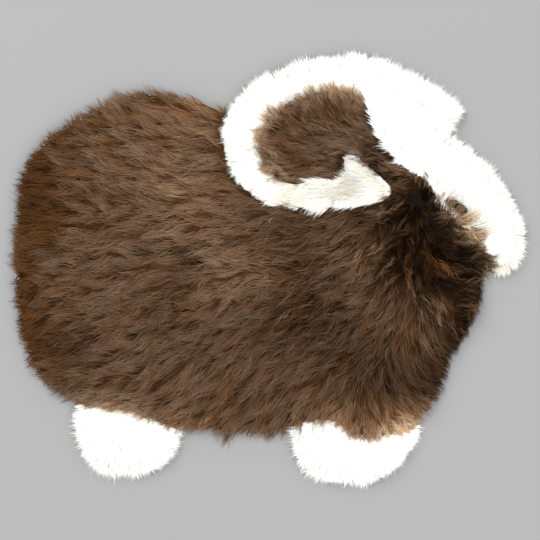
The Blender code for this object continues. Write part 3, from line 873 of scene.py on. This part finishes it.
def coat_tree():
    """The tree that grows a coat. Strands gather into locks, follow the comb, and rise to the cover's height."""
    tree = Tree(bpy.data.node_groups.new("coat_of_strands", "GeometryNodeTree"))
    ground_mesh = tree.input("Ground", "NodeSocketGeometry")
    cover = tree.input("Cover", "NodeSocketObject")
    density = tree.input("Strands to a Square Metre", SIZES, 50000)
    steps = tree.input("Steps", "NodeSocketInt", 4)
    width = tree.input("Strand Width", SIZES, 0.0015)
    spacing = tree.input("Lock Spacing", SIZES, 0.012)
    where = tree.read(tree.input("Where", "NodeSocketString", "everywhere"))
    room_kept = tree.read(tree.input("Reach", "NodeSocketString", "reach"))
    seed = tree.input("Seed", "NodeSocketInt", 0)
    finish = tree.input("Finish", "NodeSocketMaterial")
    habit = [tree.input(name, SIZES, value) for name, value in BROWN.items()]
    gather, wave, turns, depth, wild, fray, sway, relief, over, painted_depth_shade, shortened, follows_curl = habit[:12]
    tone_shift, lock_tone, strand_tone, mix, rust_share, dark_share, taper = habit[12:19]
    edge_painted_light, edge_stray, shingle, under_curls, rolling = habit[19:]

    # Where the locks and the strands stand.
    place, strand = tree.node("GeometryNodeInputPosition"), tree.node("GeometryNodeInputIndex")
    comb, far, lap = tree.read("comb", "FLOAT_VECTOR"), tree.read("long_reach"), tree.read("lap")
    at_edge, curly, steep = (tree.read(name) for name in ("at_edge", "curl", "steep"))
    locks = tree.node(
        "GeometryNodeDistributePointsOnFaces",
        {"distribute_method": "POISSON"},
        mesh=ground_mesh,
        distance_min=spacing,
        density_max=spacing**-2 * LOCK_CROWD,
        seed=seed + 11,
    )
    strands = tree.node(
        "GeometryNodeDistributePointsOnFaces",
        {"distribute_method": "RANDOM"},
        mesh=ground_mesh,
        density=density * where * (steep * STEEP_MORE + 1.0),
        seed=seed,
    )
    lock = tree.node("GeometryNodeSampleNearest", {"domain": "POINT"}, geometry=locks, sample_position=place)

    def of_lock(value, kind="FLOAT"):
        """What the strand's lock has of a value."""
        menus = {"data_type": kind, "domain": "POINT"}
        return tree.node("GeometryNodeSampleIndex", menus, geometry=locks, value=value, index=lock)

    def by_lock(low, high, draw):
        """A random number from low to high that a lock keeps."""
        return tree.node("FunctionNodeRandomValue", min=low, max=high, id=lock, seed=seed + draw)

    def by_strand(low, high, draw):
        """A random number from low to high that a strand keeps."""
        return tree.node("FunctionNodeRandomValue", min=low, max=high, id=strand, seed=seed + draw)

    def drift(size, shift):
        """A slow change over the rug about 0, for features of this size."""
        spot = lock_place / size + tree.join(shift, shift, shift)
        return tree.node("ShaderNodeTexNoise", vector=spot, scale=1.0, detail=1.0) - 0.5

    def turned(vector, angle):
        """The vector turned about the upright by an angle in radians."""
        aside = tree.vector("CROSS_PRODUCT", UP, vector)
        return vector * tree.number("COSINE", angle) + aside * tree.number("SINE", angle)

    # How far each strand lies, and which way.
    lock_place, lock_comb = of_lock(place, "FLOAT_VECTOR"), of_lock(comb, "FLOAT_VECTOR")
    way = tree.vector("NORMALIZE", lock_comb * LOCK_RULE + comb * (1 - LOCK_RULE))
    ragged = by_lock(0.0, 1.0, 22) ** 1.5
    lock_room = of_lock(room_kept) + (of_lock(far) - of_lock(room_kept)) * ragged
    reach = tree.number("MINIMUM", lock_room * 1.1, room_kept + (far - room_kept) * ragged)
    reach = reach * (by_strand(0.0, 1.0, 1) ** 1.5 * LENGTH_SPREAD + SHORT_STRAND) * by_lock(0.85, 1.15, 2)
    reach = reach * (drift(CLUMP, 1.0) * (CLUMP_SPREAD - at_edge * EDGE_EVEN) + 1.0) * (1.0 - curly * shortened)
    reach = reach + at_edge * edge_stray * by_strand(0.0, 1.0, 23) ** 5.0
    further = tree.node(
        "GeometryNodeSampleNearestSurface",
        {"data_type": "FLOAT_VECTOR"},
        mesh=ground_mesh,
        value=comb,
        sample_position=lock_place + way * (reach * 0.7),
    )
    curl, life = of_lock(curly), 1.0 - of_lock(tree.read("calm"))
    much = 1.0 - (1.0 - curl) * follows_curl
    stray = by_strand(-1.0, 1.0, 3) * fray + by_lock(-1.0, 1.0, 4) * wild * (curl * CURL_STRAY + 1.0)
    stray = stray + drift(CLUMP, 3.0) * sway
    amplitude = (wave + curl * CURL_SIZE) * by_lock(0.5, 1.3, 5)
    roundness = turns * by_lock(0.7, 1.3, 6)
    phase = by_lock(0.0, 1.0, 7) + by_strand(-0.05, 0.05, 8)

    # How deep it lies under the cover.
    low_lie = depth * by_strand(0.0, 1.0, 15) ** 1.5
    deep = life * (by_lock(0.0, 1.0, 18) + drift(CLUMP, 5.0) * 2.0)
    free = 1.0 - tree.number("MAXIMUM", lap, 0.0) / LAP_HEIGHT
    sunk = relief * deep - lap + curly * under_curls * free

    # Its tone, and which of the four sorts of wool it is.
    shade = of_lock(tree.read("tone")) + (tone_shift + by_lock(-1.0, 1.0, 9) * lock_tone * life) * much
    # Strands near a free edge are lighter: painted light on the rim.
    shade = shade + drift(TONE_CLUMP, 7.0) * 0.5 * mix + at_edge * edge_painted_light
    shade = shade + by_strand(-1.0, 1.0, 10) * by_strand(0.2, 1.0, 12) * strand_tone * much
    # Locks that lie deeper are darker: painted shade.
    shade = shade - (deep - 0.5) * painted_depth_shade * much
    fade = tree.read("fade") * by_strand(0.3, 1.0, 19)
    paled = of_lock(tree.read("fade"))
    mixed = by_lock(0.0, 0.55, 13) + by_strand(0.0, 0.45, 14) + drift(SORT_CLUMP, 9.0) * mix
    golden = by_lock(0.0, 0.6, 21) + by_strand(0.0, 0.4, 20)
    in_rust = tree.number("LESS_THAN", mixed, of_lock(tree.read("rusty")) + rust_share - paled)
    dark = of_lock(tree.read("dark")) * dark_share + 0.06
    in_dark = tree.number("GREATER_THAN", mixed, 1.0 - dark) * (1.0 - in_rust)
    in_gold = tree.number("LESS_THAN", golden, paled + 0.36) * (1.0 - in_rust - in_dark)
    sort = in_rust + in_dark * 2.0 + in_gold * 3.0

    kept = (
        ("root", place),
        ("way_start", turned(way, stray)),
        ("way_end", turned(tree.vector("NORMALIZE", further), stray)),
        ("pull", (lock_place - place) * (1.0 - at_edge * EDGE_LOOSE)),
        ("sizes", tree.join(reach, width * by_strand(0.6, 1.25, 16), amplitude)),
        ("rhythm", tree.join(roundness, phase, by_strand(-1.0, 1.0, 17) * rolling)),
        ("lift", tree.join(1.0 - low_lie, sunk, steep)),
        ("dye", tree.join(sort, tree.number("MINIMUM", shade * 0.45 + 0.45, 0.78), fade)),
    )
    for name, value in kept:
        strands = tree.store(strands, name, value, "FLOAT_VECTOR")

    # A flat strip for each strand, bent along its path.
    grid = tree.node("GeometryNodeMeshGrid", size_x=1.0, size_y=1.0, vertices_x=steps + 1, vertices_y=2)
    x, y, _ = tree.parts(place)
    strip = tree.store(tree.store(grid, "along", x + 0.5), "across", y * 2.0)
    strands = tree.node("GeometryNodeInstanceOnPoints", points=strands, instance=strip)
    strands = tree.node("GeometryNodeRealizeInstances", geometry=strands)
    along, across = tree.read("along"), tree.read("across")
    root, start, end, pull, sizes, rhythm, lift, dye = (
        tree.read(name, "FLOAT_VECTOR")
        for name in ("root", "way_start", "way_end", "pull", "sizes", "rhythm", "lift", "dye")
    )
    reach, width, amplitude = tree.parts(sizes)
    roundness, phase, roll = tree.parts(rhythm)
    share, sunk, steep = tree.parts(lift)
    sort, shade, fade = tree.parts(dye)
    half_way = along * along * 0.5
    aside = tree.vector("CROSS_PRODUCT", UP, start)
    circle = (roundness * along + phase) * (2 * math.pi)
    bend = aside * (amplitude * tree.number("SINE", circle) * along)
    path = root + start * (reach * (along - half_way)) + end * (reach * half_way) + bend + pull * (gather * along)
    x, y, _ = tree.parts(path)
    ray = tree.node(
        "GeometryNodeRaycast",
        target_geometry=tree.node("GeometryNodeObjectInfo", object=cover).also("Geometry"),
        source_position=tree.join(x, y, 1.0),
        ray_direction=(0.0, 0.0, -1.0),
        ray_length=2.0,
    )
    _, _, height = tree.parts(ray.also("Hit Position"))
    _, _, low = tree.parts(root)
    rise = 1.0 - (1.0 - along) ** (steep * RISE_STEEP + RISE)
    lifted = (height - sunk - low) * rise * share + amplitude * 0.5 * tree.number("COSINE", circle) * along
    lifted = lifted + (over + shingle * (along - 0.6)) * rise
    z = tree.number("MAXIMUM", low + lifted, LOWEST)
    ribbon = aside * tree.number("COSINE", roll) + tree.join(0.0, 0.0, tree.number("SINE", roll))
    ribbon = ribbon * (width * (1.0 - along**2 * taper) * across * 0.5)
    strands = tree.node("GeometryNodeSetPosition", geometry=strands, position=tree.join(x, y, z) + ribbon)
    strands = tree.node("GeometryNodeSetShadeSmooth", geometry=strands)

    # Its map: U is the sort and the place along the strand, V is the tone, paler towards a faded tip.
    shade = shade + (0.98 - shade) * tree.number("MINIMUM", fade * along**1.6, 1.0) + across * 0.008
    strand_map = tree.join((sort + along * 0.9 + 0.05) * 0.25, tree.between(shade, 0.01, 0.99))
    strands = tree.store(strands, "OFBake", strand_map, "FLOAT2", "CORNER")
    strands = tree.node("GeometryNodeSetMaterial", geometry=strands, material=finish)
    tree.output("Coat", "NodeSocketGeometry", strands)
    return tree.group


def grown(name, start, tree, values):
    """The plain mesh that a tree makes of an object with these inputs, with only the data that its finish reads."""
    modifier = start.modifiers.new(name, "NODES")
    modifier.node_group = tree
    for item in tree.interface.items_tree:
        if item.name in values:
            modifier[item.identifier] = values[item.name]
    evaluated = start.evaluated_get(bpy.context.evaluated_depsgraph_get())
    mesh = bpy.data.meshes.new_from_object(evaluated)
    start.modifiers.remove(modifier)
    mesh.name = name
    for data in [data.name for data in mesh.attributes if not (data.is_required or data.is_internal)]:
        if data not in FINISH_DATA:
            mesh.attributes.remove(mesh.attributes[data])
    return placed(name, mesh)


# ---- finishes


def shader_group(name):
    """An empty group for shader nodes."""
    return Tree(bpy.data.node_groups.new(name, "ShaderNodeTree"))


def strand_dye_and_shade_group():
    """Colour along a strand for four sorts of wool, darker at the root partly as painted shade. The map's U is sort
    and place along it, its V is the tone, which holds the painted shade of deep locks and painted light at free
    edges.
    """
    tree = shader_group("strand_dye")
    place = tree.input("Strand Map", "NodeSocketVector")
    colours = [tree.input(f"{end} {sort}", "NodeSocketColor") for sort in "ABCD" for end in ("Root", "Tip")]
    bleached = tree.input("Bleached", "NodeSocketColor")
    contrast = tree.input("Contrast", SIZES, 1.0)
    first = tree.input("Turns From", SIZES, 0.3)
    u, v, _ = tree.parts(place)
    sort = tree.number("FLOOR", u * 4.0)
    along = tree.between((u * 4.0 - sort - first) * 1.7, 0.0, 1.0)
    colour = tree.blend(along, *colours[:2])
    for number in (1, 2, 3):
        next_colour = tree.blend(along, *colours[2 * number : 2 * number + 2])
        colour = tree.blend(tree.number("GREATER_THAN", sort, number - 0.5), colour, next_colour)
    colour = tree.strengthened(colour, tree.number("POWER", 2.0, (v - 0.45) * 4.5 * contrast))
    pale = tree.between((v - 0.7) * 3.4, 0.0, 1.0)
    tree.output("Color", "NodeSocketColor", tree.blend(pale, colour, bleached))
    tree.output("Dullness", SIZES, 0.65 - along * 0.15)
    return tree.group


def matted_group():
    """Blotches and fine grain on Object coordinates: a colour between two, and a height for a Bump node."""
    tree = shader_group("matted_fibres")
    low = tree.input("Low", "NodeSocketColor")
    high = tree.input("High", "NodeSocketColor")
    blotch = tree.input("Blotch Scale", SIZES, 60.0)
    grain = tree.input("Grain Scale", SIZES, 900.0)
    place = tree.node("ShaderNodeTexCoord").also("Object")
    broad = tree.node("ShaderNodeTexNoise", vector=place, scale=blotch, detail=3.0)
    fine = tree.node("ShaderNodeTexNoise", vector=place, scale=grain, detail=2.0)
    felt = tree.blend(tree.number("MULTIPLY_ADD", broad + fine * 0.6, 1.6, -0.8), low, high)
    # Darker by the piece's depth: the wool's own tone, and on the brown under-wool also painted shade.
    depth = tree.node("ShaderNodeAttribute", {"attribute_name": "depth"}).also("Fac")
    tree.output("Color", "NodeSocketColor", tree.strengthened(felt, tree.number("POWER", 2.0, depth)))
    tree.output("Height", SIZES, fine * 0.6 + broad * 0.4)
    return tree.group


DYE_AND_SHADE = strand_dye_and_shade_group()
MATTED = matted_group()


def principled(name, **plain):
    """A new material with its main shader, whose named sockets get plain values."""
    material = bpy.data.materials.new(name)
    material.use_nodes = True
    shader = material.node_tree.nodes["Principled BSDF"]
    for socket, value in plain.items():
        shader.inputs[socket.replace("_", " ").title().replace("Ior", "IOR")].default_value = value
    return material, Tree(material.node_tree), shader


def placed_group(tree, group, **values):
    """A group set into a material, with its own values."""
    node = tree.nodes.new("ShaderNodeGroup")
    node.node_tree = group
    for socket in node.inputs:
        key = socket.name.lower().replace(" ", "_")
        if key in values:
            tree.put(socket, values[key])
    return Field(tree, node.outputs[0])


def wool_material(name, shine, contrast, turns_from, tints, bleached):
    """Wool strands that read their sort, place and tone from their own map."""
    material, tree, shader = principled(name, specular_ior_level=shine)
    colours = {
        f"{end}_{sort}": tint(*shade)
        for sort, pair in zip("abcd", tints)
        for end, shade in zip(("root", "tip"), pair)
    }
    dye = placed_group(
        tree,
        DYE_AND_SHADE,
        strand_map=tree.node("ShaderNodeUVMap", {"uv_map": "OFBake"}),
        contrast=contrast,
        turns_from=turns_from,
        bleached=tint(*bleached),
        **colours,
    )
    tree.put(shader.inputs["Base Color"], dye)
    tree.put(shader.inputs["Roughness"], dye.also("Dullness"))
    return material


def matted_material(name, low, high, blotch, grain, roughness, depth):
    """A surface of felted fibres, such as under-wool or the suede side of a hide."""
    material, tree, shader = principled(name, roughness=roughness, specular_ior_level=0.1)
    look = placed_group(tree, MATTED, low=tint(*low), high=tint(*high), blotch_scale=blotch, grain_scale=grain)
    tree.put(shader.inputs["Base Color"], look)
    bump = tree.node("ShaderNodeBump", strength=0.6, distance=depth, height=look.also("Height"))
    tree.put(shader.inputs["Normal"], bump)
    return material


# Tints of the four sorts of wool, at the root and at the tip: most of it, the rusty or cream strands, the dark or
# beige ones, and the golden ones. The darker roots are partly painted shade of the wool over them, and partly tips
# that are bleached lighter.
BROWN_TINTS = (
    ((78, 53, 32), (124, 96, 74)),
    ((66, 38, 14), (113, 75, 40)),
    ((20, 11, 4), (66, 40, 19)),
    ((88, 64, 38), (136, 113, 92)),
)
WHITE_TINTS = (
    ((242, 240, 232), (250, 250, 248)),
    ((238, 232, 214), (248, 246, 236)),
    ((224, 208, 174), (243, 235, 214)),
    ((241, 238, 227), (250, 250, 246)),
)
BROWN_WOOL = wool_material("brown_fleece", 0.04, 1.2, 0.35, BROWN_TINTS, (226, 208, 176))
WHITE_WOOL = wool_material("white_fleece", 0.12, 0.5, 0.2, WHITE_TINTS, (250, 250, 246))
# The brown under-wool's dark colour is partly painted shade of the coat over it.
BROWN_UNDER = matted_material("brown_under_wool", (46, 28, 13), (78, 53, 27), 70.0, 700.0, 0.85, 0.002)
WHITE_UNDER = matted_material("white_under_wool", (236, 230, 212), (250, 249, 242), 70.0, 700.0, 0.85, 0.002)
SUEDE = matted_material("dressed_hide", (176, 148, 112), (206, 182, 148), 25.0, 1400.0, 0.8, 0.0003)


# ---- the pieces

COVER_OBJECT = COVER.surface()
COAT_TREE = coat_tree()


def dressed(piece, material, skin):
    """Finish a piece, attach it to the body root, and hide the imported part that it takes the place of."""
    if not piece.data.materials:
        piece.data.materials.append(material)
    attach(piece, "root")
    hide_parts(skin)
    return piece


def fleece(skin):
    """A skin's hide, its under-wool and its coats."""
    wool, under, slot, darkening = WHITE_WOOL, WHITE_UNDER, "white_wool", 1.0
    if skin == "body":
        wool, under, slot, darkening = BROWN_WOOL, BROWN_UNDER, "brown_wool", UNDER_PAINTED_SHADE
    ring, rim = hide_ring(skin), free_rim(skin)[0]
    hide = dressed(slab(f"{skin}_hide", ring, HIDE_GRID, HIDE_LIFT, hide_top, rim), SUEDE, skin)
    matted = slab(
        f"{skin}_under_wool", ring, UNDER_GRID, HIDE_LIFT + HIDE + UNDER_GAP, under_wool_top(skin), rim
    )
    spots = np.array([corner.co[:2] for corner in matted.data.vertices])
    # The under-wool takes the wool's own tone from place to place, and the brown one darkens more: painted shade
    # between the locks.
    depth = patchwork(skin, spots, TONE) * darkening
    matted.data.attributes.new("depth", "FLOAT", "POINT").data.foreach_set("value", depth.astype(np.float32))
    on_it = [dressed(matted, under, skin)]
    start = ground(skin)
    for number, (owner, name, habit, density, steps, width, spacing) in enumerate(COATS):
        if owner == skin:
            values = {
                "Cover": COVER_OBJECT,
                "Strands to a Square Metre": float(density),
                "Steps": steps,
                "Strand Width": width,
                "Lock Spacing": spacing,
                "Seed": 100 * number,
                "Finish": wool,
                **HABITS[habit],
            }
            on_it.append(dressed(grown(f"{skin}_{name}", start, COAT_TREE, values), wool, skin))
    bpy.data.objects.remove(start)


for skin in SKINS:
    fleece(skin)
bpy.data.objects.remove(COVER_OBJECT)


# ---- the eye, a bean wound with yarn


def eye_girth(share, size_of, power_of_e):
    """The bean's half breadth, from 0 at its left end to 1 at its right, for a breadth of 1: numbers or fields."""
    off = (share - EYE_WAIST) / EYE_WAIST_WAY
    waist = 1.0 - power_of_e(off * off * -1.0) * EYE_WAIST_DEPTH
    ends = (1.0 - size_of(share * 2.0 - 1.0) ** EYE_BLUNT) ** 0.5
    return ends * (share * (1 - EYE_SLIM) + EYE_SLIM) * waist * 0.5


def eye_core(size):
    """The stuffed bean under the yarn, as closed rings of points."""
    around = np.linspace(0, 2 * math.pi, 16, endpoint=False)
    rings = []
    for run in (1 - np.cos(np.linspace(0.12, math.pi - 0.12, 14))) / 2:
        girth = eye_girth(run, abs, math.exp)
        rings.append(
            [
                ((run - 0.5) * size[0], girth * size[1] * math.cos(angle), girth * size[2] * math.sin(angle))
                for angle in around
            ]
        )
    count = len(around)
    faces = [
        (r * count + k, r * count + (k + 1) % count, (r + 1) * count + (k + 1) % count, (r + 1) * count + k)
        for r in range(len(rings) - 1)
        for k in range(count)
    ]
    faces += [tuple(range(count))[::-1], tuple(range((len(rings) - 1) * count, len(rings) * count))]
    mesh = bpy.data.meshes.new("eye_core")
    mesh.from_pydata([place for ring in rings for place in ring], [], faces)
    mesh.polygons.foreach_set("use_smooth", [True] * len(mesh.polygons))
    return placed("eye_core", mesh)


def yarn_tree():
    """The tree that winds yarn round a bean whose long way is X."""
    tree = Tree(bpy.data.node_groups.new("yarn_winding", "GeometryNodeTree"))
    tree.input("Start", "NodeSocketGeometry")
    names = ("Length", "Breadth", "Height", "Turns", "Slant", "Yarn Radius")
    length, breadth, height, turns, slant, yarn = (tree.input(name, SIZES, 0.002) for name in names)
    finish = tree.input("Finish", "NodeSocketMaterial")
    line = tree.node("GeometryNodeCurvePrimitiveLine", end=(1.0, 0.0, 0.0))
    line = tree.node("GeometryNodeResampleCurve", curve=line, count=turns * 18.0)
    share = tree.node("GeometryNodeSplineParameter")
    line = tree.store(line, "wound", share)
    angle = share * turns * (2 * math.pi)
    run = 0.5 - tree.number("COSINE", share * (math.pi * 0.94) + math.pi * 0.03) * 0.5
    girth = eye_girth(run, lambda v: tree.number("ABSOLUTE", v), lambda v: tree.number("EXPONENT", v))
    across = tree.number("COSINE", angle)
    place = tree.join(
        (run - 0.5) * length + across * slant, girth * breadth * across, girth * height * tree.number("SINE", angle)
    )
    line = tree.node("GeometryNodeSetPosition", geometry=line, position=place)
    circle = tree.node("GeometryNodeCurvePrimitiveCircle", resolution=8, radius=yarn)
    wound = tree.node("GeometryNodeCurveToMesh", curve=line, profile_curve=circle, fill_caps=True)
    wound = tree.node("GeometryNodeSetShadeSmooth", geometry=wound)
    wound = tree.node("GeometryNodeRealizeInstances", geometry=wound)
    wound = tree.node("GeometryNodeSetMaterial", geometry=wound, material=finish)
    tree.output("Yarn", "NodeSocketGeometry", wound)
    return tree.group


def yarn_material():
    """Brown wool yarn, darker at the bean's ends, with painted shade in one band at the waist, and its fibres as fine
    ridges.
    """
    material, tree, shader = principled(
        "eye_yarn_wool", roughness=0.8, specular_ior_level=0.2, sheen_weight=0.2, sheen_roughness=0.4
    )
    wound = tree.node("ShaderNodeAttribute", {"attribute_name": "wound"}).also("Fac")
    place = tree.node("ShaderNodeTexCoord").also("Object")
    fibres = tree.node("ShaderNodeTexNoise", vector=place, scale=900.0, detail=3.0)
    ramp = tree.nodes.new("ShaderNodeValToRGB")
    for spot in range(len(EYE_SHADES) - 2):
        ramp.color_ramp.elements.new(0.5)
    for element, (at, colour) in zip(ramp.color_ramp.elements, EYE_SHADES):
        element.position, element.color = at, tint(*colour)
    tree.put(ramp.inputs[0], wound + (fibres - 0.5) * 0.08)
    strength = fibres * 1.2 + 0.4
    tree.put(shader.inputs["Base Color"], tree.strengthened(Field(tree, ramp.outputs[0]), strength))
    bump = tree.node("ShaderNodeBump", strength=0.7, distance=0.0004, height=fibres)
    tree.put(shader.inputs["Normal"], bump)
    return material


def sewn_eye():
    """The eye: a stuffed bean and the yarn wound on it, both set into the face's wool."""
    low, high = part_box("eye")
    centre = (low + high) / 2
    finish = yarn_material()
    core = eye_core([length * share for length, share in zip(EYE_SIZE, EYE_CORE)])
    values = {name: length - 2 * EYE_YARN for name, length in zip(("Length", "Breadth", "Height"), EYE_SIZE)}
    values |= {"Turns": EYE_TURNS, "Slant": EYE_SLANT, "Yarn Radius": EYE_YARN, "Finish": finish}
    start = placed("yarn_start", bpy.data.meshes.new("yarn_start"))
    yarn = grown("eye_yarn_winding", start, yarn_tree(), values)
    bpy.data.objects.remove(start)
    for piece in (core, yarn):
        piece.data.transform(Matrix.Translation(centre) @ Matrix.Rotation(math.radians(EYE_TURN), 4, "Z"))
        dressed(piece, finish, "eye")


sewn_eye()


# ---- floor, light and camera


def lamp(name, size, energy, place):
    """A square soft light that faces the rug."""
    data = bpy.data.lights.new(name, "AREA")
    data.size, data.energy = size, energy
    light = bpy.data.objects.new(name, data)
    light.location = place
    light.rotation_euler = (-Vector(place)).to_track_quat("-Z", "Y").to_euler()
    bpy.context.scene.collection.objects.link(light)


def studio():
    """A plain pale floor, a soft room and two large lamps."""
    bm = bmesh.new()
    bmesh.ops.create_grid(bm, x_segments=8, y_segments=8, size=FLOOR_SIZE / 2)
    mesh = bpy.data.meshes.new("floor")
    bm.to_mesh(mesh)
    bm.free()
    mesh.transform(Matrix.Translation((0, 0, -FLOOR_GAP)))
    material, _, _ = principled("pale_floor", base_color=(*FLOOR_SHADE, 1.0), roughness=0.9)
    floor = placed("floor", mesh)
    floor.data.materials.append(material)
    world = bpy.data.worlds.new("soft_room")
    world.use_nodes = True
    back = world.node_tree.nodes["Background"]
    back.inputs["Color"].default_value = (*ROOM_SHADE, 1.0)
    back.inputs["Strength"].default_value = 1.0
    bpy.context.scene.world = world
    for row in LAMPS:
        lamp(*row)


def camera():
    """A camera straight above the rug."""
    data = bpy.data.cameras.new("above")
    data.lens, data.sensor_width = LENS, SENSOR
    data.clip_end = 50
    eye = bpy.data.objects.new("above", data)
    eye.location = (*VIEW_CENTRE, VIEW_WIDTH * LENS / SENSOR + VIEW_PLANE)
    bpy.context.scene.collection.objects.link(eye)
    bpy.context.scene.camera = eye


studio()
camera()
bpy.context.scene.view_settings.view_transform = "Standard"
